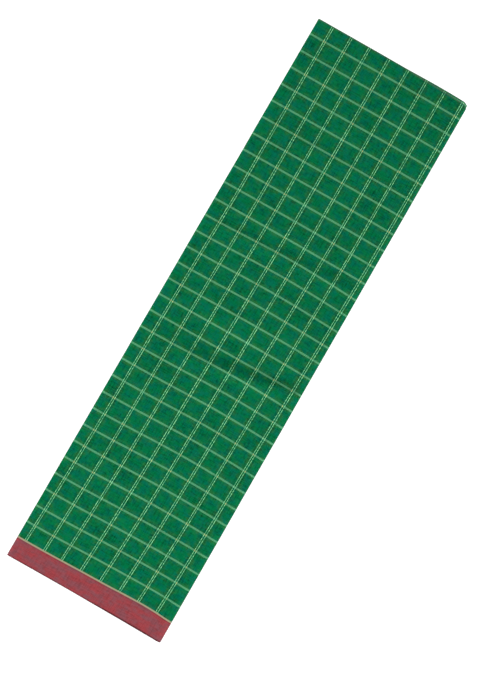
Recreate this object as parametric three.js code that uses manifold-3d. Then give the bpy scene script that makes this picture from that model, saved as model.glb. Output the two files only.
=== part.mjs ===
/**
 * A handloom cotton saree, folded into a long flat bundle and laid down.
 *
 * The cloth is folded once across its width, border on border, and then halved five times along
 * its length. That makes 64 plies. Four plies lie together as one leaf, so the bundle is 16
 * leaves high, and every leaf belongs to one long strip that turns at the right side (the spine,
 * where the last fold wraps the whole height) and at the left side (the earlier folds).
 *
 * Leaves are counted from the top, 0 to 15. At the spine, leaf k turns into leaf 15 - k. At the
 * left, the fourth fold holds leaves 0 to 7, the third 8 to 11, the second 12 and 13, the first
 * 14, and leaf 15 holds the two free ends of the cloth.
 *
 * Millimetres. +X across the bundle towards the spine, +Y along it from the border end to the
 * fold end, +Z up. The underside lies on z = 0 and the origin is under the middle.
 */
import * as THREE from 'three';
import { mergeVertices } from 'three/addons/utils/BufferGeometryUtils.js';
import Module from 'manifold-3d';

// The whole cloth, and how it is folded.
const SAREE_WIDTH = 1180;
const LENGTHWISE_FOLDS = 5;
const PLIES_IN_LEAF = 4;
const PLY_THICKNESS = 0.28125;
const BORDER_BAND = 21;

// The bundle.
const LENGTH = SAREE_WIDTH / 2;
const WIDTH_AT_BORDER = 167.2;
const WIDTH_AT_FOLD = 163.7;
const LEAF = PLIES_IN_LEAF * PLY_THICKNESS;
const LEAVES = 2 * 2 ** LENGTHWISE_FOLDS / PLIES_IN_LEAF;
const HEIGHT = LEAVES * LEAF;
const MID = HEIGHT / 2;

// The outer wrap's wall, and the gap between pieces.
const WALL = 1.0;
const GAP = 0.3;
const SEAM_Y = -LENGTH / 2 + BORDER_BAND;

// The turns of the cloth at the two sides. Squareness is the power of the superellipse.
const SQUARENESS = 2.3;
const SPINE_REACH = 9;
const SPINE_STEPS = 8;
const CLEFT_DEPTH = 8;
const FREE_END_RECESS = 0.9;
const LEFT_FOLDS = [
  { name: 'fourth', firstLeaf: 0, lastLeaf: 7, reach: 5.0, recess: 0.0, steps: 6 },
  { name: 'third', firstLeaf: 8, lastLeaf: 11, reach: 2.7, recess: 0.5, steps: 4 },
  { name: 'second', firstLeaf: 12, lastLeaf: 13, reach: 1.5, recess: 1.2, steps: 4 },
  { name: 'first', firstLeaf: 14, lastLeaf: 14, reach: 0.7, recess: 0.6, steps: 2 },
];
const FOURTH = LEFT_FOLDS[0];

// How the ends of the bundle lie. The fold end dips towards the spine and its corner there is
// cut; the top layer's border slips back on its right half; the leaves end unevenly.
const CORNER_CUT = 3.8;
const CORNER_REACH = 5.5;
const CORNER_POWER = 1.6;
const FAR_END_DIP = 1.0;
const BORDER_SLIP = { amount: 1.2, from: -12, to: 30 };
const LEAF_STAGGER = { amount: 0.9, turnPerLeaf: 2.4 };

// How the leaves show at the ends: rooted in the core, parted from each other, thinned at the rim.
const END_STRETCH = 9;
const CORE_SETBACK = 3.2;
const END_ROUNDING = 0.5;
const EDGE_THINNING = 0.28;
const LEAF_INSET = 0.05;
const LEAF_GAP = 0.12;
const HAIRPIN_STEPS = 2;

// Creases across the top. Each runs from x0 to x1 along y + slant * x, with a low ridge on its
// fold side and a trough on its border side. Height, place and reach are across the crease.
const CREASES = [
  {
    x0: -84, x1: 84, y: -31, slant: 0.085,
    ridge: { height: 0.55, at: 13, reach: 30 },
    trough: { height: 0.35, at: -6, reach: 13 },
  },
  {
    x0: -20, x1: 90, y: -30, slant: 0.06,
    ridge: { height: 0.3, at: 7, reach: 13 },
    trough: { height: 0.95, at: -4, reach: 9 },
  },
  {
    x0: -95, x1: 55, y: 87, slant: -0.05,
    ridge: { height: 0.25, at: 12, reach: 22 },
    trough: { height: 0.5, at: -4, reach: 10 },
  },
  {
    x0: -70, x1: 80, y: 192, slant: 0.04,
    ridge: { height: 0.1, at: 14, reach: 24 },
    trough: { height: 0.35, at: -3, reach: 9 },
  },
  {
    x0: -60, x1: 88, y: -189, slant: -0.07,
    ridge: { height: 0.1, at: 12, reach: 20 },
    trough: { height: 0.3, at: -5, reach: 12 },
  },
];
const SIDE_WAVE = 0.25;

// Stations along the bundle: even steps, closer together where the main crease lies.
const STATION_SPANS = [
  { from: -60, to: 16, step: 4.75 },
  { from: 76, to: 108, step: 5.4 },
];
const PLAIN_STEP = 21;
const TOP_COLUMNS = 9;

const GREEN = new THREE.MeshStandardMaterial({ color: 0x0f6b46, roughness: 0.88, metalness: 0 });
const MAROON = new THREE.MeshStandardMaterial({ color: 0x96494f, roughness: 0.88, metalness: 0 });

const lerp = THREE.MathUtils.lerp;
const smoothstep = THREE.MathUtils.smoothstep;

/** Smooth hump, 1 at 0 and 0 from -1 and 1 outwards. */
const hump = (t) => (Math.abs(t) < 1 ? (1 - t * t) ** 2 : 0);

/** Half the bundle's width at y, with the slight wave of its two sides. */
function halfWidth(y) {
  const along = y / LENGTH + 0.5;
  const wave = SIDE_WAVE * Math.sin(Math.PI * along) * Math.sin(5 * Math.PI * along);
  return lerp(WIDTH_AT_BORDER, WIDTH_AT_FOLD, along) / 2 - Math.abs(wave);
}

/** How far the top is raised at x, y by the creases. */
function lift(x, y) {
  let sum = 0;
  for (const c of CREASES) {
    const across = hump((2 * x - c.x0 - c.x1) / (c.x1 - c.x0)) ** 0.5;
    const t = y - c.y - c.slant * x;
    const height = ({ height: h, at, reach }) => h * hump((t - at) / reach);
    sum += across * (height(c.ridge) - height(c.trough));
  }
  return sum;
}

/** A section point placed at y and carried by the creases, which fade out towards mid height. */
function place(x, y, z) {
  return [x, y, z + lift(x, y) * smoothstep(z, MID, HEIGHT - WALL)];
}

/** Points of a turn from its top to its bottom; side is 1 for the right and -1 for the left. */
function turn(x, z, reach, half, side, steps) {
  const points = [];
  for (let k = 0; k <= steps; k += 1) {
    const angle = Math.PI * (0.5 - k / steps);
    const out = Math.max(Math.cos(angle), 0) ** (2 / SQUARENESS);
    const up = Math.sign(Math.sin(angle)) * Math.abs(Math.sin(angle)) ** (2 / SQUARENESS);
    points.push([x + side * reach * out, z + half * up]);
  }
  return points;
}

/** The spine's turn at a depth below the bundle's skin. */
function spineTurn(depth, half, steps = SPINE_STEPS) {
  const share = (MID - depth) / MID;
  return turn(half - SPINE_REACH, MID, SPINE_REACH * share, MID * share, 1, steps);
}

/** Lower and upper z of a left fold, leaving room for the outer wrap's wall. */
function foldBand(fold) {
  const top = HEIGHT - fold.firstLeaf * LEAF;
  const bottom = HEIGHT - (fold.lastLeaf + 1) * LEAF;
  return {
    high: fold.firstLeaf === FOURTH.lastLeaf + 1 ? top - GAP : top,
    low: Math.max(bottom, WALL + GAP),
  };
}

/** A left fold's turn, shrunk to a share of its size, from its top to its bottom. */
function leftTurn(fold, share, half, steps = fold.steps) {
  const { high, low } = foldBand(fold);
  const x = -half + fold.recess + fold.reach;
  return turn(x, (high + low) / 2, fold.reach * share, ((high - low) / 2) * share, -1, steps);
}

/** x of the end of the cleft under the fourth fold. */
const cleftEnd = (half) => -half + FOURTH.reach + CLEFT_DEPTH;

/** Even columns between two x, without the ends, at one z. */
function columns(from, to, count, z) {
  return Array.from({ length: count }, (_, k) => [lerp(from, to, (k + 1) / (count + 1)), z]);
}

/** The outer wrap from the cleft, round the upper left, over, round the spine and under. */
function wrapPath(depth, y) {
  const half = halfWidth(y);
  const lobe = leftTurn(FOURTH, (MID / 2 - depth) / (MID / 2), half).reverse();
  const spine = spineTurn(depth, half);
  const freeEnd = -half + FREE_END_RECESS;
  return [
    [cleftEnd(half), lobe[0][1]],
    ...lobe,
    ...columns(lobe.at(-1)[0], spine[0][0], TOP_COLUMNS, HEIGHT - depth),
    ...spine,
    [0, depth],
    [freeEnd, depth],
  ];
}

/** Distance that the fold end falls short at x. */
function farShortfall(x, half) {
  const corner = Math.max((x - half + CORNER_REACH) / CORNER_REACH, 0);
  const cut = (CORNER_CUT - FAR_END_DIP) * corner ** CORNER_POWER;
  return FAR_END_DIP * smoothstep(x, half / 2, half) + cut;
}

/** Distance that the top layer's border end falls short at x. */
function nearShortfall(x) {
  return BORDER_SLIP.amount * smoothstep(x, BORDER_SLIP.from, BORDER_SLIP.to);
}

/** Shortfall of one leaf against its neighbours; the leaf under the outer wrap has none. */
const stagger = (leaf) => (
  (LEAF_STAGGER.amount / 2) * (1 - Math.cos(LEAF_STAGGER.turnPerLeaf * (leaf - 1)))
);

/** Station places between two y, closer together where the creases are. */
function stationsBetween(from, to) {
  const places = [from];
  while (places.at(-1) < to) {
    const y = places.at(-1);
    const span = STATION_SPANS.find((s) => y >= s.from && y < s.to);
    const next = STATION_SPANS.find((s) => y < s.from && y + PLAIN_STEP > s.from);
    places.push(span ? y + span.step : next ? next.from : y + PLAIN_STEP);
  }
  places.pop();
  if (to - places.at(-1) < PLAIN_STEP / 3) places.pop();
  return [...places, to];
}

/** A closed mesh through rings of equal length; the first and last are capped. */
function sweep(rings) {
  const count = rings[0].length;
  const faces = [];
  for (let r = 0; r + 1 < rings.length; r += 1) {
    for (let k = 0; k < count; k += 1) {
      const a = r * count + k;
      const b = r * count + ((k + 1) % count);
      faces.push(a, b, b + count, a, b + count, a + count);
    }
  }
  const outline = rings[0].map(([x, , z]) => new THREE.Vector2(x, z));
  const last = (rings.length - 1) * count;
  const clockwise = THREE.ShapeUtils.isClockWise(outline);
  for (const [a, b, c] of THREE.ShapeUtils.triangulateShape(outline, [])) {
    if (clockwise) faces.push(a, b, c, last + a, last + c, last + b);
    else faces.push(a, c, b, last + a, last + b, last + c);
  }
  const geometry = new THREE.BufferGeometry();
  geometry.setAttribute('position', new THREE.Float32BufferAttribute(rings.flat(2), 3));
  geometry.setIndex(faces);
  return facingOut(geometry);
}

/** The same mesh with its faces pointing outwards. */
function facingOut(geometry) {
  const at = geometry.attributes.position;
  const index = geometry.index.array;
  const [a, b, c] = [new THREE.Vector3(), new THREE.Vector3(), new THREE.Vector3()];
  let volume = 0;
  for (let k = 0; k < index.length; k += 3) {
    a.fromBufferAttribute(at, index[k]);
    b.fromBufferAttribute(at, index[k + 1]);
    c.fromBufferAttribute(at, index[k + 2]);
    volume += a.dot(b.cross(c));
  }
  if (volume < 0) {
    for (let k = 0; k < index.length; k += 3) {
      [index[k + 1], index[k + 2]] = [index[k + 2], index[k + 1]];
    }
  }
  return geometry;
}

/** One ring of the outer wrap; shortfall gives each point's distance from yBase. */
function wrapRing(yBase, thinning, shortfall) {
  const skin = wrapPath(thinning, yBase);
  const lining = wrapPath(WALL - thinning, yBase).reverse();
  const half = halfWidth(yBase);
  return [...skin, ...lining].map(([x, z]) => place(x, yBase + shortfall(x, half), z));
}

/** The outer wrap's wall from y0 to y1, with rounded edges where it ends the bundle. */
function outerWrap(y0, y1) {
  const none = () => 0;
  const endsNear = y0 <= -LENGTH / 2;
  const endsFar = y1 >= LENGTH / 2;
  const plainFrom = endsNear ? y0 + END_STRETCH : y0;
  const plainTo = endsFar ? y1 - END_STRETCH : y1;
  const rings = stationsBetween(plainFrom, plainTo).map((y) => wrapRing(y, 0, none));
  if (endsNear) {
    rings.unshift(wrapRing(y0 + END_ROUNDING, 0, nearShortfall));
    rings.unshift(wrapRing(y0, EDGE_THINNING, nearShortfall));
  }
  if (endsFar) {
    const short = (x, half) => -farShortfall(x, half);
    rings.push(wrapRing(y1 - END_ROUNDING, 0, short));
    rings.push(wrapRing(y1, EDGE_THINNING, short));
  }
  return sweep(rings);
}

/** Outline of the hidden layers at y: spine, underside, left folds, cleft and top. */
function coreOutline(y) {
  const half = halfWidth(y);
  const depth = WALL + GAP;
  const spine = spineTurn(depth, half);
  const lobe = leftTurn(FOURTH, (MID / 2 - depth) / (MID / 2), half);
  const lowerFolds = LEFT_FOLDS.slice(1).reverse();
  const leftSide = lowerFolds.flatMap((fold) => leftTurn(fold, 1, half).reverse());
  const cleft = cleftEnd(half) + GAP;
  return [
    ...spine,
    ...leftSide,
    [cleft, leftSide.at(-1)[1]],
    [cleft, lobe.at(-1)[1]],
    ...lobe.reverse(),
    ...columns(lobe.at(-1)[0], spine[0][0], TOP_COLUMNS, HEIGHT - depth),
  ];
}

/** The hidden layers as one body from y0 to y1, without their uneven ends. */
function core(y0, y1) {
  return sweep(stationsBetween(y0, y1).map((y) => coreOutline(y).map(([x, z]) => place(x, y, z))));
}

/**
 * Outline of the hidden leaves as one strip: it starts at the first fold, as leaf 14, turns at the
 * spine and at the left folds in the order that the folding gives, and ends beside the cleft, as
 * leaf 7. Each point is x, z and how far that leaf falls short. Both skins are thinned.
 */
function stripOutline(half, thinning) {
  const slack = LEAF_GAP / 2 + thinning;
  const skin = WALL + GAP + LEAF_INSET + thinning;
  const right = [];
  const left = [];
  const addTurn = (from, to, atSpine, outer, inner) => {
    const rising = to < from;
    const along = (points) => (rising ? points.reverse() : points).map(([x, z], k) => (
      [x, z, lerp(stagger(from), stagger(to), k / (points.length - 1))]
    ));
    (atSpine === rising ? right : left).push(...along(outer));
    (atSpine === rising ? left : right).push(...along(inner));
  };

  const first = LEFT_FOLDS.at(-1);
  const { high, low } = foldBand(first);
  const noseX = -half + first.recess;
  right.push([noseX, (high + low) / 2, 0], [noseX + first.reach, skin, 0]);
  left.push([noseX + first.reach, high - slack, 0]);
  for (let leaf = first.firstLeaf; ;) {
    const across = LEAVES - 1 - leaf;
    const depth = Math.min(leaf, across) * LEAF;
    const centre = depth + LEAF === MID;
    addTurn(
      leaf, across, true,
      spineTurn(Math.max(depth + slack, skin), half),
      spineTurn(depth + LEAF - slack, half, centre ? HAIRPIN_STEPS : SPINE_STEPS),
    );
    if (across === FOURTH.lastLeaf) break;
    const fold = LEFT_FOLDS.find((f) => across >= f.firstLeaf && across <= f.lastLeaf);
    leaf = fold.firstLeaf + fold.lastLeaf - across;
    const ring = Math.min(leaf, across) - fold.firstLeaf;
    const band = foldBand(fold);
    const radius = (band.high - band.low) / 2;
    const ringDepth = (2 * radius) / (fold.lastLeaf - fold.firstLeaf + 1);
    const hairpin = Math.abs(leaf - across) === 1;
    const outerDepth = Math.max(ring * ringDepth + slack, fold === FOURTH ? skin : 0);
    const innerDepth = (ring + 1) * ringDepth - slack;
    addTurn(
      across, leaf, false,
      leftTurn(fold, 1 - outerDepth / radius, half),
      leftTurn(fold, 1 - innerDepth / radius, half, hairpin ? HAIRPIN_STEPS : fold.steps),
    );
  }
  const endX = cleftEnd(half) + 2 * GAP;
  right.push([endX, right.at(-1)[1], right.at(-1)[2]]);
  left.push([endX, left.at(-1)[1], left.at(-1)[2]]);
  return [...right, ...left.reverse()];
}

/** The uneven, rounded ends of the leaves; end is 1 at the fold end and -1 at the border end. */
function leafEnds(end) {
  const yEnd = (end * LENGTH) / 2;
  const half = halfWidth(yEnd);
  const corner = (x) => (end > 0 ? farShortfall(x, half) : 0);
  const ring = (thinning, back) => stripOutline(half, thinning).map(([x, z, short]) => (
    [x, yEnd - end * (back + short + corner(x)), z]
  ));
  const start = stripOutline(half, 0).map(([x, z]) => [x, yEnd - end * END_STRETCH, z]);
  return sweep([start, ring(0, END_ROUNDING), ring(EDGE_THINNING, 0)]);
}

const wasm = await Module();
wasm.setup();

/** A closed mesh as a solid that can be joined. */
function toSolid(geometry) {
  const bare = geometry.clone();
  bare.deleteAttribute('normal');
  bare.deleteAttribute('uv');
  const merged = mergeVertices(bare, 1e-5);
  return new wasm.Manifold(new wasm.Mesh({
    numProp: 3,
    vertProperties: Float32Array.from(merged.attributes.position.array),
    triVerts: Uint32Array.from(merged.index.array),
  }));
}

/** Two overlapping closed meshes joined into one. */
function joined(one, other) {
  const mesh = toSolid(one).add(toSolid(other)).getMesh();
  const geometry = new THREE.BufferGeometry();
  geometry.setAttribute('position', new THREE.Float32BufferAttribute(mesh.vertProperties, 3));
  geometry.setIndex(Array.from(mesh.triVerts));
  return geometry;
}

/** A named piece of the bundle. */
function piece(name, geometry, material) {
  const mesh = new THREE.Mesh(geometry, material);
  mesh.name = name;
  return mesh;
}

const borderTop = SEAM_Y - GAP / 2;
const fieldStart = SEAM_Y + GAP / 2;
const coreNear = -LENGTH / 2 + CORE_SETBACK;
const coreFar = LENGTH / 2 - CORE_SETBACK - CORNER_CUT;

const saree = new THREE.Group();
saree.name = 'folded_saree';
saree.add(piece('outer_field', outerWrap(fieldStart, LENGTH / 2), GREEN));
saree.add(piece('outer_border', outerWrap(-LENGTH / 2, borderTop), MAROON));
saree.add(piece('inner_field', joined(core(fieldStart, coreFar), leafEnds(1)), GREEN));
saree.add(piece('inner_border', joined(core(coreNear, borderTop), leafEnds(-1)), MAROON));

export default saree;
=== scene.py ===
"""A folded handloom cotton saree: green check with a plain maroon border, laid flat.

The cloth is folded border on border and then halved five times along its length. It lies as one
long strand of leaves, two doubled cloths to a leaf, which turns at the spine (right) and at the
left folds. The outermost doubled cloth, the wrap, is a fine shell of two plies. The rest is one
ribbon through all the leaves.

Geometry is worked out in millimetres and made in metres. +X is across the bundle towards the
spine, +Y along it from the border end to the fold end, +Z up. A distance s along the bundle is
measured from the fold end.
"""
import math
from collections import namedtuple

import bpy
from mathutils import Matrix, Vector


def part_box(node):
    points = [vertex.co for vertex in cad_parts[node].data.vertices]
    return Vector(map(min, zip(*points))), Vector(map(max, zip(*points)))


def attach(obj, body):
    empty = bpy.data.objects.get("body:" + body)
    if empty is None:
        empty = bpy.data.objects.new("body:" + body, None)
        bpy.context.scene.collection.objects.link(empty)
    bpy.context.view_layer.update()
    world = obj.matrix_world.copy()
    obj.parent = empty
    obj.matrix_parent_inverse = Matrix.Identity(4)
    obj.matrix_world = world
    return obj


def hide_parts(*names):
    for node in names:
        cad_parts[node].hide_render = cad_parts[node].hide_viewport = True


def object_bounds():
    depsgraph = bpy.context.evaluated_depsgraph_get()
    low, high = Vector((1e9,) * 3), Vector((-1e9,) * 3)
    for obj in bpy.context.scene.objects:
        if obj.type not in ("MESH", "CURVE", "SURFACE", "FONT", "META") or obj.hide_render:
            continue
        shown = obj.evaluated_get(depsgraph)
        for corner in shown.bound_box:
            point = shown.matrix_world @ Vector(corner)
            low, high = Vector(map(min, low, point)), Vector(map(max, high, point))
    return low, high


bl_info = {
    "name": "Folded Handloom Saree",
    "version": (1, 0, 0),
    "blender": (4, 5, 0),
    "location": "3D View > Sidebar > Saree",
    "description": "Builds a folded cotton saree with a woven check and a plain border",
    "category": "Add Mesh",
}

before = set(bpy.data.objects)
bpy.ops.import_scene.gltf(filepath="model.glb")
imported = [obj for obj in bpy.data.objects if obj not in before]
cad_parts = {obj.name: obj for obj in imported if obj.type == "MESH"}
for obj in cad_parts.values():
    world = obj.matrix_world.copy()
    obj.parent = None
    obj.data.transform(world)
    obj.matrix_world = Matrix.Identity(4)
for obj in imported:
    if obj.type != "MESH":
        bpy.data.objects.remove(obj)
CAD_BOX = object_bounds()

MM = 0.001

# The bundle, from the frame. The border's box ends half a seam gap short of the woven line.
BORDER_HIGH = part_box("outer_border")[1]
SEAM_GAP = 0.3
LENGTH = (CAD_BOX[1].y - CAD_BOX[0].y) / MM
HALF = (CAD_BOX[1].x - CAD_BOX[0].x) / MM / 2
HEIGHT = BORDER_HIGH.z / MM
SEAM = BORDER_HIGH.y / MM + SEAM_GAP / 2
FAR = LENGTH / 2
NEAR = -LENGTH / 2
MID = HEIGHT / 2
WIDTH_AT_FOLD = 163.7
# The soft cloth stands this much proud of the leaves' even stack on each side.
PROUD = 0.6

# The cloth and its leaves, counted from the top. A little air lies between two layers.
LEAVES = 16
LEAF = HEIGHT / LEAVES
DOUBLED = LEAF / 2
PLY = DOUBLED / 2
AIR = 0.04
PLY_HALF = PLY / 2 - AIR / 2
DOUBLED_HALF = DOUBLED / 2 - AIR / 2

# The turns at the two sides. Squareness is the power of the superellipse.
SQUARENESS = 2.3
SPINE_REACH = 9.0
CLEFT_DEPTH = 8.0
FREE_END_RECESS = 0.9
# The left folds, with the last one made on top. Each holds the leaves from first to last. Recess is
# how far it stays inside the bundle's side, and drop is its clearance under the fold above.
Fold = namedtuple("Fold", "first last reach recess drop")
LEFT_FOLDS = (
    Fold(0, 7, 5.0, 0.0, 0.0),
    Fold(8, 11, 2.7, 0.5, 0.3),
    Fold(12, 13, 1.5, 1.2, 0.0),
    Fold(14, 14, 0.7, 0.6, 0.0),
)
WRAP_FOLD, FIRST_FOLD = LEFT_FOLDS[0], LEFT_FOLDS[-1]
LOWEST_HIDDEN = 1.2

# How the fold end lies: it dips towards the spine, where its corner is cut, and runs askew on
# its left half. The top plies slip back on the right, at the fold end and at the border.
CORNER_CUT, CORNER_REACH, CORNER_POWER = 3.8, 5.5, 1.6
FAR_END_DIP = 1.0
FOLD_SKEW = 0.35
TOP_PLY_SLIP = {"amount": 0.9, "start": 12, "end": 40}
BORDER_SLIP = {"amount": 0.7, "start": -12, "end": 30}
SLIP_HEIGHTS = (3, 12)
# How the border end stands out, more so towards its two corners.
BORDER_SPREAD = 0.33
CORNER_SPREAD = {"amount": 0.55, "start": 24, "end": 4}
# Over what length of the bundle these moves fade out, and how far from an end they are whole.
END_STRETCH, END_EDGE = 9.0, 0.6
SEAM_STRETCH, HIDDEN_SEAM_STRETCH = 34, 20

# How the hidden leaves' ends follow the wrap's, part from each other and wander.
HIDDEN_CORNER_SHARE, HIDDEN_DIP_SHARE = 0.85, 0.2
HIDDEN_BULGE = {"amount": 0.6, "x": 56, "reach": 50}
LEAF_STAGGER = {"amount": 0.9, "turn_per_leaf": 2.4}
PARTED_LEAVES, PARTED_RECESS, PARTED_REACH = (4, 8, 12), 1.7, 0.95
RAGGED_END = {"amount": 0.12, "x": 13, "turn_per_leaf": 2.1, "under_wrap": 0.3}
RAGGED_PLIES = {"amount": 0.25, "turn_per_ply": 2.4, "turn_per_leaf": 1.9}
HIDDEN_PHASE = -0.4

# Creases across the top: from x0 to x1 along y + slant * x, a ridge and a trough beside it.
Crease = namedtuple("Crease", "x0 x1 y slant ridge ridge_at ridge_reach trough trough_at trough_reach")
CREASES = (
    Crease(-84, 84, -31, 0.085, 0.9, 13, 30, 0.35, -6, 13),
    Crease(-52, 124, -37.5, 0.175, 0.35, 8, 13, 1.1, -4, 11.5),
    Crease(-98, 104, 85, 0.065, 0.4, 5, 12, 0.8, -4, 10),
    Crease(-90, 70, 187, 0.03, 0.15, 14, 24, 0.45, -3, 9),
    Crease(-60, 88, -202, -0.05, 0.12, 12, 20, 0.35, -5, 12),
    Crease(-100, -48, 34, 0.32, 0.15, 5, 8, 0.3, -2, 6),
    Crease(-70, -24, 20, -0.2, 0.1, 5, 8, 0.25, -2, 6),
    Crease(30, 92, -40, 0.19, 0.12, 2.6, 3.2, 0.3, -1.0, 2.6),
)
SIDE_WAVE, SIDE_WAVES = 0.12, 5

# Dents in the two sides and along the left folds, in the direction of x. They fade in between
# two distances from the side.
Dent = namedtuple("Dent", "side y reach depth z z_reach")
DENTS = (
    Dent(1, 212, 34, 0.30, 5, 4),
    Dent(1, 90, 18, 0.35, 4, 4),
    Dent(1, -30, 22, 0.50, 5, 4),
    Dent(1, -122, 46, 0.25, 5, 4),
    Dent(1, -226, 30, 0.35, 5, 4),
    Dent(-1, 244, 40, 0.35, 5, 4),
    Dent(-1, 150, 26, 0.25, 15, 3),
    Dent(-1, 36, 38, 0.45, 6, 4),
    Dent(-1, -66, 24, 0.25, 15, 3),
    Dent(-1, -160, 44, 0.50, 3.5, 3),
)
DENT_START, DENT_END = 14, 2

# Where the creases take up cloth: millimetres of cloth, between two places of s.
FIRST_TUCK = {"amount": 2.28, "x": 12, "reach": 92, "start": 197, "end": 214}
SECOND_TUCK = {"amount": 2.0, "x": 26, "reach": 100, "start": 320, "end": 336}
SLACK_BEFORE = 4.0
SLACK_AFTER = {"amount": 2.45, "right": 0.7, "right_start": 30, "right_end": 70, "end": 558, "power": 1.7}
BORDER_PUCKER = {"amount": 1.1, "x": 49, "reach": 42, "start": 540, "end": 566}
# Where cloth is bowed along the bundle, and lies straight again further on.
Bow = namedtuple("Bow", "amount s s_reach x x_reach")
BOWS = (
    Bow(-0.7, 88, 95, -30, 110),
    Bow(-0.4, 110, 120, -90, 40),
    Bow(0.75, 372, 56, -80, 62),
    Bow(-0.8, 515, 62, -14, 84),
    Bow(0.5, 300, 34, 62, 60),
)
# How the double lines drift to the left along the bundle.
DRIFT = {"start": 185, "slope": 0.0215, "bend_start": 430, "bend_reach": 130, "bend": 2.0, "taper": 0.45}
LEFT_LAG = {"amount": 0.85, "x": -34, "x_end": -52, "start": 300, "end": 430}

# Steps along y. Rows lie closer together over the creases.
CREASED_SPANS = ((-220, -182), (-66, 44), (66, 106), (172, 208))
WRAP_STEPS = {"fine": 2.4, "plain": 8.0}
HIDDEN_STEPS = {"fine": 4.8, "plain": 24.0}
BORDER_STEPS = {"fine": 4.0, "plain": 4.0}
FOLD_APPROACH, FOLD_STEPS = (2.0, 0.6), 8
# The wrap's selvedge: distances from its edge with shares of the full thickness.
SELVEDGE, SELVEDGE_REACH = ((0.0, 0.35), (0.06, 0.8), (0.18, 1.0)), 1.2
# Rows of the hidden border, from its selvedge, and the steps of a rounded edge.
HIDDEN_BORDER_ROWS = (3.0, 9.0, 17.0)
ROUND_STEPS = 3
SHARP_ANGLE = math.radians(50)
WELD = 1e-6

# Slow waves of the woven lines along the cloth, in millimetres, and the double lines' phase.
Wave = namedtuple("Wave", "amount length phase")
PAIR_WAVES = (Wave(0.5, 100.0, 0.0), Wave(0.21, 45.0, 1.22))
STRIPE_WAVE = Wave(0.35, 230.0, 0.8)
PAIR_PHASE = 66.1
LINE_SOFTNESS, STRIPE_SOFTNESS = 0.12, 0.25

# The stage, in metres.
FLOOR_HALF, FLOOR_DROP, FLOOR_GREY, FLOOR_ROUGHNESS = 4.0, 0.0003, 0.3, 0.9
KEY_SPREAD = math.radians(14)
PANEL_SIZE = 0.6
FILL_PLACE, FILL_TARGET = (0.0, -0.8, 1.1), (0.0, -0.4, 0.0)
SIDE_PANEL_X, SIDE_PANEL_Z = 1.3, 0.26
LAMP_PLACE = (0.0, 0.0, 2.0)
VIEW_CENTRE = (0.00485, -0.0091)
SENSOR_MM, VIEW_DEPTH = 36.0, 30.0


def length_mm(name, value, description):
    """A length property whose default is given in millimetres."""
    return bpy.props.FloatProperty(
        name=name, description=description, default=value * MM, min=0.0, unit="LENGTH", precision=5,
    )


def linear(*levels):
    """Linear colour of an 8-bit display colour."""
    shares = [level / 255 for level in levels]
    return tuple(s / 12.92 if s <= 0.04045 else ((s + 0.055) / 1.055) ** 2.4 for s in shares)


def colour(name, levels, description):
    """A colour property whose default is given in 8-bit display levels."""
    return bpy.props.FloatVectorProperty(
        name=name, description=description, default=linear(*levels), size=3, min=0.0, max=1.0,
        subtype="COLOR",
    )


class SareeWeave(bpy.types.PropertyGroup):
    """Sizes of the check, the border and the threads."""

    thread: length_mm("Thread pitch", 0.38, "From one thread to the next")
    stripe_pitch: length_mm("Stripe pitch", 18.1, "From one single stripe to the next")
    stripe_first: length_mm("First stripe", 16.6, "From the fold end to the first stripe")
    stripe_width: length_mm("Stripe width", 1.8, "Width of a single stripe")
    pair_pitch: length_mm("Pair pitch", 20.4, "From one pair of lines to the next")
    pair_gap: length_mm("Pair gap", 1.9, "Between the two lines of a pair")
    pair_line: length_mm("Pair line", 0.5, "Width of one line of a pair")
    border_line_at: length_mm("Border line place", 577.0, "Cloth from the fold to the pale line")
    border_line: length_mm("Border line width", 1.4, "Width of the pale line at the border")


class SareeColours(bpy.types.PropertyGroup):
    """Yarn colours, and the grey that stands for wear and painted shade along the edges."""

    green: colour("Green", (0, 103, 60), "Ground yarn")
    green_yellow: colour("Yellower green", (48, 104, 45), "Ground yarn where it is yellower")
    green_blue: colour("Bluer green", (0, 99, 73), "Ground yarn where it is bluer")
    stripe: colour("Stripe", (106, 180, 134), "Yarn of the single stripes")
    pair: colour("Pair", (84, 170, 124), "Yarn of the double lines")
    glint: colour("Pair glint", (160, 248, 180), "Yarn of the double lines where it catches the light")
    crossing: colour("Crossing", (206, 168, 84), "Yarn where a double line crosses a stripe")
    # Partly wear, partly painted shade: the grey the green takes along its edges and folds.
    worn_and_shaded: colour("Worn and shaded edge", (74, 88, 76), "What the green is greyed with along its fold")
    border_line: colour("Border line", (150, 146, 118), "Pale line at the border")
    maroon: colour("Maroon", (145, 60, 65), "Border yarn where it is redder")
    maroon_grey: colour("Greyed maroon", (127, 70, 77), "Border yarn where it is greyer")


class SareeStudio(bpy.types.PropertyGroup):
    """Camera, floor and light."""

    camera_height: bpy.props.FloatProperty(
        name="Camera height", description="Above the top of the bundle", default=5.0,
        unit="LENGTH",
    )
    view_length: bpy.props.FloatProperty(
        name="View length", description="Long side of the view at the bundle's top",
        default=0.648, unit="LENGTH",
    )
    turn: bpy.props.FloatProperty(
        name="Turn", description="How far the camera is turned about its axis",
        default=math.radians(30), unit="ROTATION",
    )
    key: bpy.props.FloatProperty(
        name="Key light", description="Strength of the low light from beyond the fold end",
        default=6.0,
    )
    key_height: bpy.props.FloatProperty(
        name="Key height", description="Angle of the key light above the floor",
        default=math.radians(20), unit="ROTATION",
    )
    fill: bpy.props.FloatProperty(
        name="Fill light", description="Power of the soft light over the border end", default=6.3,
        unit="POWER",
    )
    sides: bpy.props.FloatProperty(
        name="Side lights", description="Power of the low light at each side", default=9.8,
        unit="POWER",
    )
    sky: bpy.props.FloatProperty(
        name="Sky", description="Strength of the even light from all round", default=0.18,
    )
    floor_glow: bpy.props.FloatProperty(
        name="Floor glow", description="How strongly the white floor glows of itself", default=0.95,
    )


def lerp(a, b, share):
    return a + (b - a) * share


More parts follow.
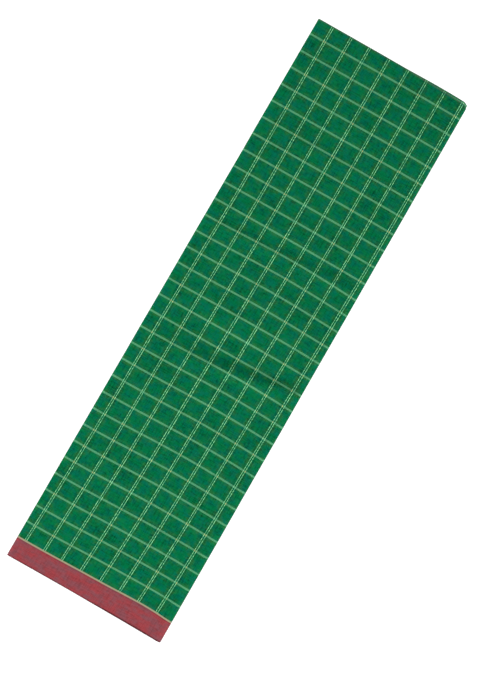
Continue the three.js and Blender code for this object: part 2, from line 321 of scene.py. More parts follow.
def ramp(value, low, high):
    """0 up to low, 1 from high on, even between."""
    return min(max((value - low) / (high - low), 0.0), 1.0)


def smoothstep(value, low, high):
    """As ramp, but smooth at both ends."""
    t = ramp(value, low, high)
    return t * t * (3 - 2 * t)


def hump(t):
    """Smooth hump, 1 at 0 and 0 from -1 and 1 outwards."""
    return (1 - t * t) ** 2 if abs(t) < 1 else 0.0


# The form of the bundle: how its sides, top and ends depart from an even stack.

def half_width(y):
    """Half the bundle's width at y, with the slight wave of its two sides."""
    along = y / LENGTH + 0.5
    wave = SIDE_WAVE * math.sin(math.pi * along) * math.sin(SIDE_WAVES * math.pi * along)
    return lerp(2 * HALF, WIDTH_AT_FOLD, along) / 2 + PROUD - abs(wave)


def lift(x, y):
    """How far the top is raised at x, y by the creases."""
    total = 0.0
    for c in CREASES:
        across = hump((2 * x - c.x0 - c.x1) / (c.x1 - c.x0)) ** 0.5
        t = y - c.y - c.slant * x
        ridge = c.ridge * hump((t - c.ridge_at) / c.ridge_reach)
        trough = c.trough * hump((t - c.trough_at) / c.trough_reach)
        total += across * (ridge - trough)
    return total


def dent(x, y, z):
    """How far a side is moved in x at y, z by its dents."""
    total = 0.0
    for d in DENTS:
        near_side = smoothstep(d.side * x, HALF - DENT_START, HALF - DENT_END)
        total -= d.side * d.depth * near_side * hump((y - d.y) / d.reach) * hump((z - d.z) / d.z_reach)
    return total


def settle(x, y, z):
    """Where a point of the evenly stacked cloth lies in the real bundle, in metres."""
    raised = z + lift(x, y) * smoothstep(z, MID, HEIGHT - DOUBLED)
    across = x * half_width(y) / HALF + dent(x, y, z)
    return (across * MM, y * MM, raised * MM)


def take_up(s, x):
    """Cloth that creases have taken up between the fold end and a distance s from it."""
    first = FIRST_TUCK["amount"] * hump((x - FIRST_TUCK["x"]) / FIRST_TUCK["reach"])
    second = SECOND_TUCK["amount"] * hump((x - SECOND_TUCK["x"]) / SECOND_TUCK["reach"])
    right = smoothstep(x, SLACK_AFTER["right_start"], SLACK_AFTER["right_end"])
    after = SLACK_AFTER["amount"] + SLACK_AFTER["right"] * right
    pucker = BORDER_PUCKER["amount"] * hump((x - BORDER_PUCKER["x"]) / BORDER_PUCKER["reach"])
    bowed = sum(b.amount * hump((s - b.s) / b.s_reach) * hump((x - b.x) / b.x_reach) for b in BOWS)
    return (
        bowed
        + first * smoothstep(s, FIRST_TUCK["start"], FIRST_TUCK["end"])
        + (SLACK_BEFORE - first) * ramp(s, FIRST_TUCK["end"], SECOND_TUCK["start"])
        + second * smoothstep(s, SECOND_TUCK["start"], SECOND_TUCK["end"])
        + after * ramp(s, SECOND_TUCK["end"], SLACK_AFTER["end"]) ** SLACK_AFTER["power"]
        + pucker * smoothstep(s, BORDER_PUCKER["start"], BORDER_PUCKER["end"])
    )


def drift(s, x):
    """How far the double lines have moved to the left at a distance s from the fold end."""
    straight = DRIFT["slope"] * max(s - DRIFT["start"], 0.0)
    bent = max(s - DRIFT["bend_start"], 0.0) / DRIFT["bend_reach"]
    lag = LEFT_LAG["amount"] * smoothstep(-x, -LEFT_LAG["x"], -LEFT_LAG["x_end"])
    lag *= smoothstep(s, LEFT_LAG["start"], LEFT_LAG["end"])
    return straight + DRIFT["bend"] * bent ** 2 * (1 - DRIFT["taper"] * (x / HALF) ** 2) - lag


def line_shift(x, line_at):
    """How far the woven line at the border lies from the seam, along y."""
    return FAR - (line_at - take_up(LENGTH, x)) - SEAM


def corner_cut(x):
    """How far the fold end falls short at x, for its cut corner."""
    corner = max((x - HALF + CORNER_REACH) / CORNER_REACH, 0.0)
    return (CORNER_CUT - FAR_END_DIP) * corner ** CORNER_POWER


def fold_dip(x):
    """How far the fold end falls short at x, for its dip towards the spine."""
    return FAR_END_DIP * smoothstep(x, HALF / 2, HALF)


def fold_skew(x):
    """How far the fold end falls short at x, on its left half."""
    return FOLD_SKEW * (1 - smoothstep(x, -HALF, 0))


def near_spread(x):
    """How far the border end stands out at x."""
    corner = smoothstep(abs(x), HALF - CORNER_SPREAD["start"], HALF - CORNER_SPREAD["end"])
    return BORDER_SPREAD + CORNER_SPREAD["amount"] * corner


def slip(x, z, slipped):
    """How far a top ply has slipped back along the bundle at x, z."""
    return slipped["amount"] * smoothstep(x, slipped["start"], slipped["end"]) * smoothstep(z, *SLIP_HEIGHTS)


def wrap_shift(x, z, y, line_at, under):
    """How far a point of the wrap is moved along the bundle, so that its ends lie as they should."""
    shift = line_shift(x, line_at)
    if y < SEAM:
        shift *= hump((y - SEAM) / (SEAM - NEAR))
    else:
        shift *= 1 - ramp(y, SEAM, SEAM + SEAM_STRETCH)
    to_border_end = ramp(SEAM - y, 0, SEAM - NEAR)
    if not under:
        shift += slip(x, z, BORDER_SLIP) * to_border_end
    shift -= near_spread(x) * to_border_end
    short = corner_cut(x) + fold_dip(x) + slip(x, z, TOP_PLY_SLIP) + fold_skew(x)
    return shift - short * ramp(y, FAR - END_STRETCH, FAR - END_EDGE)


def stagger(leaf):
    """How far one leaf falls short of its neighbours, most where two bundles of leaves meet."""
    parted = sum(hump((leaf - at) / PARTED_REACH) for at in PARTED_LEAVES)
    turned = 1 - math.cos(LEAF_STAGGER["turn_per_leaf"] * (leaf - 1))
    return LEAF_STAGGER["amount"] / 2 * turned + PARTED_RECESS * parted


def hidden_shift(x, y, leaf, wrapped, line_at):
    """How far a point of the hidden cloth is moved along the bundle. Wrapped cloth lines the wrap."""
    ragged = RAGGED_END["amount"] * math.sin(x / RAGGED_END["x"] + RAGGED_END["turn_per_leaf"] * leaf)
    short = ragged * RAGGED_END["under_wrap"] if wrapped else stagger(leaf) + ragged
    shift = line_shift(x, line_at) * (1 - ramp(abs(y - SEAM), 0, HIDDEN_SEAM_STRETCH))
    if y > 0:
        bulge = HIDDEN_BULGE["amount"] * hump((x - HIDDEN_BULGE["x"]) / HIDDEN_BULGE["reach"])
        short += HIDDEN_CORNER_SHARE * corner_cut(x) + HIDDEN_DIP_SHARE * fold_dip(x) + fold_skew(x) - bulge
        return shift - short * ramp(y, FAR - END_STRETCH, FAR - END_EDGE)
    return shift + (short - near_spread(x)) * ramp(-y, -NEAR - END_STRETCH, -NEAR - END_EDGE)


# The line of the cloth through the bundle's section.

def turn(x, z, reach, half, side, steps):
    """Points of a turn from its top to its bottom; side is 1 for the right and -1 for the left."""
    points = []
    for k in range(steps + 1):
        angle = math.pi * (0.5 - k / steps)
        out = max(math.cos(angle), 0.0) ** (2 / SQUARENESS)
        up = math.copysign(abs(math.sin(angle)) ** (2 / SQUARENESS), math.sin(angle))
        points.append((x + side * reach * out, z + half * up))
    return points


def spine_turn(depth, steps):
    """The spine's turn at a depth below the bundle's skin."""
    share = (MID - depth) / MID
    return turn(HALF - SPINE_REACH, MID, SPINE_REACH * share, MID * share, 1, steps)


def fold_band(fold):
    """Lower and upper z of a left fold."""
    high = HEIGHT - fold.first * LEAF - fold.drop
    low = HEIGHT - (fold.last + 1) * LEAF
    return max(low, LOWEST_HIDDEN), high


def left_turn(fold, ring, steps):
    """The middle of one leaf's turn in a left fold; ring 0 is the outermost."""
    low, high = fold_band(fold)
    share = 1 - (2 * ring + 1) / (fold.last - fold.first + 1)
    x = -HALF + fold.recess + fold.reach
    return turn(x, (high + low) / 2, fold.reach * share, (high - low) / 2 * share, -1, steps)


class Strand:
    """The middle line of all the leaves, from the first fold to the free ends under the bundle.

    Holds each point's x and z, the leaf it lies in, its arc length from the middle of the top, and
    the unit direction to the left of the way it runs. On the wrap that is out of the bundle. The
    cleft is the point where the wrap begins, inside its left fold.
    """

    OUTER_STEPS, INNER_STEPS = 18, 7
    TOP_COLUMNS, BOTTOM_COLUMNS, HIDDEN_COLUMNS, CLEFT_COLUMNS = 38, 16, 4, 2

    def __init__(self):
        self.points = []
        self.leaves = []
        self._lay()
        self._measure()

    @property
    def girth(self):
        """Length of the wrap, from the cleft round the bundle to the free end."""
        return self.arc[-1] - self.arc[self.cleft]

    @property
    def hidden_run(self):
        """Length of the doubled cloth inside the wrap, which runs through every leaf twice."""
        return 2 * (self.arc[-1] - self.arc[0]) - self.girth

    def ribbon_columns(self):
        """The hidden cloth's points, each with the side of the line that it lies on: from the free
        end back to the first fold on the right, round it, and on to the cleft on the left."""
        back = [(k, -1) for k in reversed(range(len(self.points)))]
        return back + [(k, 1) for k in range(self.cleft + 2)]

    def _add(self, point, leaf):
        self.points.append(point)
        self.leaves.append(leaf)

    def _straight(self, to, leaf, count):
        """Points along a leaf towards a place, without the place itself."""
        x, z = self.points[-1]
        for k in range(1, count + 1):
            share = k / (count + 1)
            self._add((lerp(x, to[0], share), lerp(z, to[1], share)), leaf)

    def _turn(self, way, start, end, count):
        """Along one leaf to a turn, and round the turn to another leaf."""
        if end < start:
            way = way[::-1]
        self._straight(way[0], start, count)
        for k, point in enumerate(way):
            self._add(point, lerp(start, end, k / (len(way) - 1)))

    def _columns(self, leaf):
        return {0: self.TOP_COLUMNS, LEAVES - 1: self.BOTTOM_COLUMNS}.get(leaf, self.HIDDEN_COLUMNS)

    def _lay(self):
        low, high = fold_band(FIRST_FOLD)
        leaf = FIRST_FOLD.first
        self._add((-HALF + FIRST_FOLD.recess + DOUBLED, (low + high) / 2), leaf)
        while True:
            across = LEAVES - 1 - leaf
            depth = (min(leaf, across) + 0.5) * LEAF
            steps = self.OUTER_STEPS if leaf == 0 else self.INNER_STEPS
            self._turn(spine_turn(depth, steps), leaf, across, self._columns(leaf))
            if across == LEAVES - 1:
                break
            fold = next(f for f in LEFT_FOLDS if f.first <= across <= f.last)
            leaf = fold.first + fold.last - across
            ring = min(leaf, across) - fold.first
            columns = self._columns(across)
            if leaf == 0:
                cleft = (-HALF + WRAP_FOLD.reach + CLEFT_DEPTH, self.points[-1][1])
                self._straight(cleft, across, columns)
                self.cleft = len(self.points)
                self._add(cleft, across)
                columns = self.CLEFT_COLUMNS
            steps = self.OUTER_STEPS if ring == 0 else self.INNER_STEPS
            self._turn(left_turn(fold, ring, steps), across, leaf, columns)
        end = (-HALF + FREE_END_RECESS, self.points[-1][1])
        self._straight(end, LEAVES - 1, self.BOTTOM_COLUMNS)
        self._add(end, LEAVES - 1)

    def _measure(self):
        count = len(self.points)
        self.out = []
        self.arc = [0.0]
        for k in range(count):
            ax, az = self.points[max(k - 1, 0)]
            bx, bz = self.points[min(k + 1, count - 1)]
            size = math.hypot(bx - ax, bz - az)
            self.out.append((-(bz - az) / size, (bx - ax) / size))
            if k:
                self.arc.append(self.arc[-1] + math.dist(self.points[k - 1], self.points[k]))
        top = [k for k in range(count) if self.leaves[k] == 0]
        middle = min(top, key=lambda k: abs(self.points[k][0]))
        zero = self.arc[middle] - self.points[middle][0]
        self.arc = [a - zero for a in self.arc]


# Meshes of the cloth.

def stations(low, high, fine, plain):
    """Places along y from low to high: fine steps over the creases, plain ones elsewhere."""
    places = [low]
    while places[-1] < high:
        y = places[-1]
        step = fine if any(a <= y < b for a, b in CREASED_SPANS) else plain
        starts = [a for a, _ in CREASED_SPANS if y < a < y + step]
        places.append(min(starts) if starts else y + step)
    places.pop()
    if high - places[-1] < fine / 2 and len(places) > 1:
        places.pop()
    return places + [high]


def cloth_uv(x, y, arc, under):
    """Place in the flat cloth, in millimetres: along its length, and across it from the fold."""
    s = FAR - y
    across = s + take_up(s, x)
    along = arc * (half_width(y) - PROUD) / HALF + drift(s, x)
    return along, -across if under else across


def new_mesh(name, points, faces, uvs, rims):
    """A smooth mesh object with the cloth's own UV map and each point's distance from an edge."""
    mesh = bpy.data.meshes.new(name)
    mesh.from_pydata(points, [], faces)
    layer = mesh.uv_layers.new(name="cloth")
    for loop in mesh.loops:
        layer.data[loop.index].uv = uvs[loop.vertex_index]
    rim = mesh.attributes.new("rim", "FLOAT", "POINT")
    rim.data.foreach_set("value", rims)
    smooth(mesh)
    made = bpy.data.objects.new(name, mesh)
    bpy.context.scene.collection.objects.link(made)
    return made


def smooth(mesh):
    """Shades a mesh smooth, except at its sharp edges."""
    mesh.shade_smooth()
    mesh.set_sharp_from_angle(angle=SHARP_ANGLE)


# A row of the wrap: its place along y, its depth below the skin, the angle of its skin side (0
# up, half a turn down), its half thickness and its distance from the nearest edge.
Row = namedtuple("Row", "y depth angle half rim")


def field_rows():
    """Rows from the upper woven line to the fold, round it and back to the lower woven line."""
    fold_at = FAR - DOUBLED / 2
    upper = stations(SEAM, fold_at, **WRAP_STEPS)
    upper[-1:-1] = [fold_at - d for d in FOLD_APPROACH]
    rows = [Row(y, PLY / 2, 0.0, PLY_HALF, FAR - y) for y in upper]
    for k in range(1, FOLD_STEPS):
        angle = math.pi * k / FOLD_STEPS
        y = fold_at + PLY / 2 * math.sin(angle)
        rows.append(Row(y, PLY - PLY / 2 * math.cos(angle), angle, PLY_HALF, 0.0))
    rows += [Row(y, PLY * 1.5, math.pi, PLY_HALF, FAR - y) for y in reversed(upper)]
    return rows


def border_rows(under):
    """Rows of one ply's border, from its rounded selvedge to the woven line, or back for the lower."""
    places = [NEAR + d for d, _ in SELVEDGE] + stations(NEAR + SELVEDGE_REACH, SEAM, **BORDER_STEPS)
    halves = [PLY_HALF * share for _, share in SELVEDGE] + [PLY_HALF] * len(places)
    depth, angle = (PLY * 1.5, math.pi) if under else (PLY / 2, 0.0)
    rows = [Row(y, depth, angle, half, y - NEAR) for y, half in zip(places, halves)]
    return rows[::-1] if under else rows


def shell(name, strand, rows, weave):
    """A closed thin shell of cloth through rows along the bundle and the wrap's columns."""
    line_at = weave.border_line_at / MM
    columns = range(strand.cleft, len(strand.points))
    points, uvs, rims = [], [], []
    for skin in (1, -1):
        for row in rows:
            under = row.angle > math.pi / 2
            ahead = skin * row.half * math.sin(row.angle)
            depth = row.depth - skin * row.half * math.cos(row.angle)
            for k in columns:
                (x, z), (ox, oz) = strand.points[k], strand.out[k]
                x, z = x + ox * (DOUBLED - depth), z + oz * (DOUBLED - depth)
                y = row.y + ahead + wrap_shift(x, z, row.y, line_at, under)
                points.append(settle(x, y, z))
                uvs.append(cloth_uv(x, y, strand.arc[k], under))
                rims.append(row.rim)
    return new_mesh(name, points, shell_faces(len(rows), len(columns)), uvs, rims)


def shell_faces(rows, columns):
    """Faces of two grids, skin and lining, joined all round; the skin's faces point outwards."""
    lining = rows * columns
    faces = []
    for r in range(rows - 1):
        for c in range(columns - 1):
            a = r * columns + c
            b, d, e = a + 1, a + columns, a + columns + 1
            faces.append((a, b, e, d))
            faces.append((lining + a, lining + d, lining + e, lining + b))
    for r in range(rows - 1):
        for c, order in ((0, 1), (columns - 1, -1)):
            a, d = r * columns + c, (r + 1) * columns + c
            faces.append((a, d, lining + d, lining + a)[::order])
    for c in range(columns - 1):
        for r, order in ((0, -1), (rows - 1, 1)):
            a, b = r * columns + c, r * columns + c + 1
            faces.append((a, b, lining + b, lining + a)[::order])
    return faces


def rounded(low, high, places, half):
    """Row places with half thicknesses, going to nothing at both ends in a round edge."""
    quarter = [0.5 * math.pi * k / ROUND_STEPS for k in range(ROUND_STEPS + 1)]
    edge = [(half * (1 - math.cos(angle)), half * math.sin(angle)) for angle in quarter]
    inner = [(y, half) for y in places if low + 2 * half < y < high - 2 * half]
    return [(low + d, h) for d, h in edge] + inner + [(high - d, h) for d, h in reversed(edge)]


def ribbon(name, strand, low, high, places, half, weave):
    """Middle surface of the hidden cloth from low to high along y, with what the ply tree needs."""
    line_at = weave.border_line_at / MM
    columns = strand.ribbon_columns()
    rows = rounded(low, high, places, half)
    count = len(columns)
    points, uvs, rims, outs, halves, edges, leaves = [], [], [], [], [], [], []
    for y, thick in rows:
        for c, (k, side) in enumerate(columns):
            (x, z), (ox, oz) = strand.points[k], strand.out[k]
            x, z = x + side * ox * DOUBLED / 2, z + side * oz * DOUBLED / 2
            leaf = strand.leaves[k]
            moved = y + hidden_shift(x, y, leaf, k > strand.cleft, line_at)
            along, across = cloth_uv(x, moved, strand.arc[k], side < 0)
            at_cut = c in (0, count - 1)
            points.append(settle(x, moved, z))
            uvs.append((along, across - HIDDEN_PHASE))
            rims.append(min(FAR - y, y - NEAR))
            outs.extend((side * ox, 0.0, side * oz))
            halves.append(0.0 if at_cut else thick * MM)
            edges.append(ramp(abs(y), FAR - END_STRETCH, FAR))
            leaves.append(leaf)
    faces = [
        (r * count + c, r * count + c + 1, (r + 1) * count + c + 1, (r + 1) * count + c)
        for r in range(len(rows) - 1) for c in range(count - 1)
    ]
    made = new_mesh(name, points, faces, uvs, rims)
    attributes = made.data.attributes
    attributes.new("out", "FLOAT_VECTOR", "POINT").data.foreach_set("vector", outs)
    for key, values in (("half", halves), ("edge", edges), ("leaf", leaves)):
        attributes.new(key, "FLOAT", "POINT").data.foreach_set("value", values)
    return made


class NodeTree:
    """Adds nodes to a tree; every value it gives back is a Socket."""

    def __init__(self, tree):
        self.tree = tree

    def node(self, kind, settings=None, sockets=None, output=0):
        """A node of one kind, its settings first and then its sockets' values or links."""
        made = self.tree.nodes.new(kind)
        for key, value in (settings or {}).items():
            setattr(made, key, value)
        for key, value in (sockets or {}).items():
            if isinstance(value, Socket):
                self.tree.links.new(value.output, made.inputs[key])
            elif isinstance(value, (list, tuple)) and value and isinstance(value[0], Socket):
                for part in value:
                    self.tree.links.new(part.output, made.inputs[key])
            else:
                made.inputs[key].default_value = value
        return Socket(self, made.outputs[output]) if len(made.outputs) > 0 else None

    def math(self, operation, *values):
        return self.node("ShaderNodeMath", {"operation": operation}, dict(enumerate(values)))

    def vector(self, operation, *values, **named):
        sockets = {**dict(enumerate(values)), **named}
        return self.node("ShaderNodeVectorMath", {"operation": operation}, sockets)

    def mix(self, factor, a, b):
        """Mix of two colours."""
        return self.node("ShaderNodeMix", {"data_type": "RGBA"}, {0: factor, 6: a, 7: b}, output=2)

    def dimmed(self, tone, amount):
        """A colour darkened by a share from 0 to 1."""
        return self.mix(amount, tone, (0.0, 0.0, 0.0, 1.0))

    def fade(self, value, start, end):
        """1 up to start and 0 from end on, smooth between."""
        sockets = {"Value": value, "From Min": end, "From Max": start}
        return self.node("ShaderNodeMapRange", {"interpolation_type": "SMOOTHSTEP"}, sockets)


class Socket:
    """A value in a tree. Arithmetic on it adds Math nodes."""

    def __init__(self, tree, output):
        self.tree = tree
        self.output = output

    def __add__(self, other):
        return self.tree.math("ADD", self, other)

    def __radd__(self, other):
        return self.tree.math("ADD", other, self)

    def __sub__(self, other):
        return self.tree.math("SUBTRACT", self, other)

    def __rsub__(self, other):
        return self.tree.math("SUBTRACT", other, self)

    def __mul__(self, other):
        return self.tree.math("MULTIPLY", self, other)

    def __rmul__(self, other):
        return self.tree.math("MULTIPLY", other, self)

    def __truediv__(self, other):
        return self.tree.math("DIVIDE", self, other)

    def __rtruediv__(self, other):
        return self.tree.math("DIVIDE", other, self)

    def __abs__(self):
        return self.tree.math("ABSOLUTE", self)


def plies_tree(material):
    """Geometry nodes that lay plies side by side along "out" and give each its thickness."""
    group = bpy.data.node_groups.new("plies_of_cloth", "GeometryNodeTree")
    interface = group.interface
    interface.new_socket("Geometry", in_out="INPUT", socket_type="NodeSocketGeometry")
    plies = interface.new_socket("Plies", in_out="INPUT", socket_type="NodeSocketInt")
    pitch = interface.new_socket("Ply Pitch", in_out="INPUT", socket_type="NodeSocketFloat")
    ragged = interface.new_socket("Ragged Ends", in_out="INPUT", socket_type="NodeSocketFloat")
    interface.new_socket("Geometry", in_out="OUTPUT", socket_type="NodeSocketGeometry")
    tree = NodeTree(group)
    start = group.nodes.new("NodeGroupInput")
    end = group.nodes.new("NodeGroupOutput")
    given = {socket.name: Socket(tree, socket) for socket in start.outputs if socket.name}

    def named(name, kind="FLOAT"):
        return tree.node("GeometryNodeInputNamedAttribute", {"data_type": kind}, {"Name": name})

    row = tree.node("GeometryNodeMeshLine", None, {"Count": given["Plies"], "Offset": (0, 0, 0)})
    copies = tree.node("GeometryNodeInstanceOnPoints", None, {
        "Points": row, "Instance": given["Geometry"]})
    numbered = tree.node(
        "GeometryNodeStoreNamedAttribute", {"data_type": "FLOAT", "domain": "INSTANCE"},
        {"Geometry": copies, "Name": "ply", "Value": tree.node("GeometryNodeInputIndex")})
    cloths = tree.node("GeometryNodeRealizeInstances", None, {"Geometry": numbered})
    out, half, ply = named("out", "FLOAT_VECTOR"), named("half"), named("ply")
    place = (ply - (given["Plies"] - 1) * 0.5) * given["Ply Pitch"]
    aside = tree.vector("SCALE", out, Scale=place)
    turned = ply * RAGGED_PLIES["turn_per_ply"] + named("leaf") * RAGGED_PLIES["turn_per_leaf"]
    ahead = tree.node("ShaderNodeCombineXYZ", None, {
        "Y": tree.math("SINE", turned) * named("edge") * given["Ragged Ends"]})
    laid = tree.node("GeometryNodeSetPosition", None, {
        "Geometry": cloths, "Offset": tree.vector("ADD", aside, ahead)})
    skin, lining = [
        tree.node("GeometryNodeSetPosition", None, {
            "Geometry": laid, "Offset": tree.vector("SCALE", out, Scale=half * side)})
        for side in (1, -1)
    ]
    lining = tree.node("GeometryNodeFlipFaces", None, {"Mesh": lining})
    both = tree.node("GeometryNodeJoinGeometry", None, {"Geometry": [skin, lining]})
    closed = tree.node("GeometryNodeMergeByDistance", None, {"Geometry": both, "Distance": WELD})
    realized = tree.node("GeometryNodeRealizeInstances", None, {"Geometry": closed})
    finished = tree.node("GeometryNodeSetMaterial", None, {"Geometry": realized, "Material": material})
    group.links.new(finished.output, end.inputs["Geometry"])
    return group, {"plies": plies.identifier, "pitch": pitch.identifier, "ragged": ragged.identifier}


def with_plies(made, material, plies, pitch, ragged):
    """Turns the middle surface into its plies, as a plain mesh."""
    group, inputs = plies_tree(material)
    modifier = made.modifiers.new("plies", "NODES")
    modifier.node_group = group
    modifier[inputs["plies"]] = plies
    modifier[inputs["pitch"]] = pitch * MM
    modifier[inputs["ragged"]] = ragged * MM
    graph = bpy.context.evaluated_depsgraph_get()
    mesh = bpy.data.meshes.new_from_object(made.evaluated_get(graph), depsgraph=graph)
    made.modifiers.remove(modifier)
    made.data = mesh
    smooth(mesh)


class ClothShader:
    """What both cloths' materials share: the place in the cloth, threads, slubs and mottling."""

    def __init__(self, name, weave, colours):
        self.material = bpy.data.materials.new(name)
        self.material.use_nodes = True
        self.material.node_tree.nodes.clear()
        self.tree = NodeTree(self.material.node_tree)
        self.weave = weave
        self.colours = colours
        uv = self.tree.node("ShaderNodeUVMap", {"uv_map": "cloth"})
        self.along = self.tree.node("ShaderNodeSeparateXYZ", None, {0: uv})
        self.across = Socket(self.tree, self.along.output.node.outputs[1])
        thread = math.pi / (weave.thread / MM)
        self.check = (
            self.tree.math("SINE", self.along * thread) * self.tree.math("SINE", self.across * thread)
        )
        self.rim = self.tree.node("ShaderNodeAttribute", {"attribute_name": "rim"}, output=2)

    def yarn(self, name):
        """One of the yarn colours, as a shader takes it."""
        return (*getattr(self.colours, name), 1.0)

    def noise(self, along, across, detail=2.0, seed=0.0):
        """Noise from 0 to 1 whose features are this many millimetres long each way."""
        place = self.tree.node("ShaderNodeCombineXYZ", None, {
            "X": self.along / along, "Y": self.across / across, "Z": seed})
        return self.tree.node("ShaderNodeTexNoise", None, {
            "Vector": place, "Scale": 1.0, "Detail": detail, "Roughness": 0.55})

    def wave(self, wave):
        """A slow wave along the cloth."""
        turned = self.along * (2 * math.pi / wave.length) + wave.phase
        return self.tree.math("SINE", turned) * wave.amount

    def streaked(self, ground, streak, contrast, patch, depth, clear):
        """The ground's colour in the weft and in the warp, each darkened in streaks along its threads.

        A streak is this many millimetres long and one wide. The tone is scaled by depth, and only
        what is above clear darkens the colour.
        """
        threads = []
        for along, across, seed in ((1.0, streak, 2.0), (streak, 1.0, 4.0)):
            tone = self.noise(along, across, detail=1.0, seed=seed) * contrast + patch
            threads.append(self.tree.dimmed(ground, tone * depth - clear))
        return threads

    def woven(self, warp, weft, weft_up):
        """The warp's colour, and the weft's where the weft lies on top."""
        return self.tree.mix(self.tree.node("ShaderNodeClamp", None, {0: weft_up}), warp, weft)

    def beyond_line(self):
        """How far towards the selvedge of the pale line a place is, in millimetres."""
        return abs(self.across) - self.weave.border_line_at / MM

    def with_border_line(self, woven):
        """The cloth's colour with the pale line where the field meets the border."""
        half = self.weave.border_line / MM / 2
        line = self.tree.fade(abs(self.beyond_line()), half - 0.1, half + 0.25)
        flecked = self.noise(12.0, 0.5, seed=6.0) * 0.25
        return self.tree.mix(line, woven, self.tree.dimmed(self.yarn("border_line"), flecked))

    def finish(self, colour):
        """Surface of matt cotton with its threads in relief."""
        weft_slub = self.noise(0.7, 24.0, seed=3.0)
        warp_slub = self.noise(24.0, 0.7, seed=7.0)
        relief = abs(self.check) * 0.6 + weft_slub * 0.5 + warp_slub * 0.5
        bump = self.tree.node("ShaderNodeBump", None, {
            "Strength": 0.35, "Distance": 0.00012, "Height": relief})
        rough = self.noise(3.0, 3.0, seed=11.0) * 0.08 + 0.84
        surface = self.tree.node("ShaderNodeBsdfPrincipled", None, {
            "Base Color": colour, "Roughness": rough, "Normal": bump,
            "Specular IOR Level": 0.01, "Sheen Weight": 0.004, "Sheen Roughness": 0.5,
        })
        self.tree.node("ShaderNodeOutputMaterial", None, {"Surface": surface})
        return self.material


def green_cloth(weave, colours):
    """The checked field: green ground, single stripes one way and double lines the other."""
    cloth = ClothShader("green_check_cotton", weave, colours)
    tree = cloth.tree

    # Distances from the nearest double line and the nearest stripe, and where each is.
    wander = cloth.wave(PAIR_WAVES[0]) + cloth.wave(PAIR_WAVES[1])
    pair_place = tree.math("PINGPONG", cloth.along - wander + PAIR_PHASE, weave.pair_pitch / MM / 2)
    line_place = abs(pair_place - weave.pair_gap / MM / 2)
    line_half = weave.pair_line / MM / 2
    pair = tree.fade(line_place, line_half - LINE_SOFTNESS, line_half + LINE_SOFTNESS)
    bowed = cloth.across + cloth.wave(STRIPE_WAVE) - weave.stripe_first / MM
    stripe_place = tree.math("PINGPONG", bowed, weave.stripe_pitch / MM / 2)
    stripe_half = weave.stripe_width / MM / 2
    to_border = (weave.border_line_at - weave.stripe_pitch / 2) / MM
    in_field = tree.math("LESS_THAN", abs(cloth.across), to_border)
    stripe = in_field * tree.fade(
        stripe_place, stripe_half - STRIPE_SOFTNESS, stripe_half + STRIPE_SOFTNESS)

    # The ground: bluer in patches, yellower beside the lines.
    bluish = tree.fade(cloth.noise(8.0, 6.5, detail=3.0, seed=1.0), 0.38, 0.60)
    ground = tree.mix(bluish, cloth.yarn("green"), cloth.yarn("green_blue"))
    yellowish = 1.0 - tree.fade(cloth.noise(6.4, 4.2, detail=3.0, seed=5.0), 0.40, 0.64)
    near_line = tree.math("MAXIMUM", tree.fade(stripe_place, 1.2, 5.8), tree.fade(pair_place, 2.0, 6.2))
    yellow = near_line * (yellowish * 0.46 + 0.06) + yellowish * 0.08
    ground = tree.mix(yellow, ground, cloth.yarn("green_yellow"))
    patch = cloth.noise(2.6, 2.4, seed=12.0) * 0.6 + cloth.noise(30.0, 24.0, seed=15.0) * 0.4
    weft, warp = cloth.streaked(ground, streak=10.0, contrast=1.5, patch=patch, depth=1.5, clear=1.78)

    # The lines: stripes in the warp, double lines in the weft, golden here and there where they cross.
    stripe_tone = tree.dimmed(cloth.yarn("stripe"), cloth.noise(30.0, 0.6, seed=6.0) * 0.3)
    glint = 1.0 - tree.fade(cloth.noise(1.6, 1.8, detail=1.0, seed=8.0), 0.44, 0.60)
    pair_tone = tree.mix(glint, cloth.yarn("pair"), cloth.yarn("glint"))
    warp = tree.mix(stripe, warp, stripe_tone)
    weft = tree.mix(pair, weft, pair_tone)
    woven = cloth.woven(warp, weft, cloth.check * 0.55 + 0.5 + pair * 0.32 - stripe * 0.05)
    golden = 1.0 - tree.fade(cloth.noise(3.6, 3.6, detail=0.0, seed=14.0), 0.44, 0.58)
    woven = tree.mix(golden * stripe * pair * 0.62, woven, cloth.yarn("crossing"))
    beside_pair = tree.fade(pair_place, 2.6, 3.8) * (1.0 - pair)
    woven = cloth.with_border_line(tree.dimmed(woven, beside_pair * 0.17))

    # Greyed towards the edges and folds: partly wear, partly painted shade where the cloth turns down.
    worn_and_shaded = tree.fade(cloth.rim, 0.2, 2.0) * 0.55
    return cloth.finish(tree.mix(worn_and_shaded, woven, cloth.yarn("worn_and_shaded")))


def maroon_cloth(weave, colours):
    """The plain border, with the pale line where it meets the field."""
    cloth = ClothShader("maroon_border_cotton", weave, colours)
    tree = cloth.tree
    greyed = tree.fade(cloth.noise(11.0, 6.0, detail=3.0, seed=9.0), 0.36, 0.64)
    ground = tree.mix(greyed, cloth.yarn("maroon"), cloth.yarn("maroon_grey"))
    fleck = cloth.noise(2.6, 2.2, seed=12.0) * 0.7
    weft, warp = cloth.streaked(ground, streak=11.0, contrast=1.4, patch=fleck, depth=0.7, clear=0.64)
    woven = cloth.woven(warp, weft, cloth.check * 0.5 + 0.5)
    beside_line = tree.fade(cloth.beyond_line(), 0.9, 2.6)
    woven = cloth.with_border_line(tree.dimmed(woven, beside_line * 0.22))
    # Darker towards the edges and selvedges: partly wear, partly painted shade where the cloth turns down.
    worn_and_shaded = tree.fade(cloth.rim, 0.3, 1.4)
    return cloth.finish(tree.dimmed(woven, worn_and_shaded * 0.3))


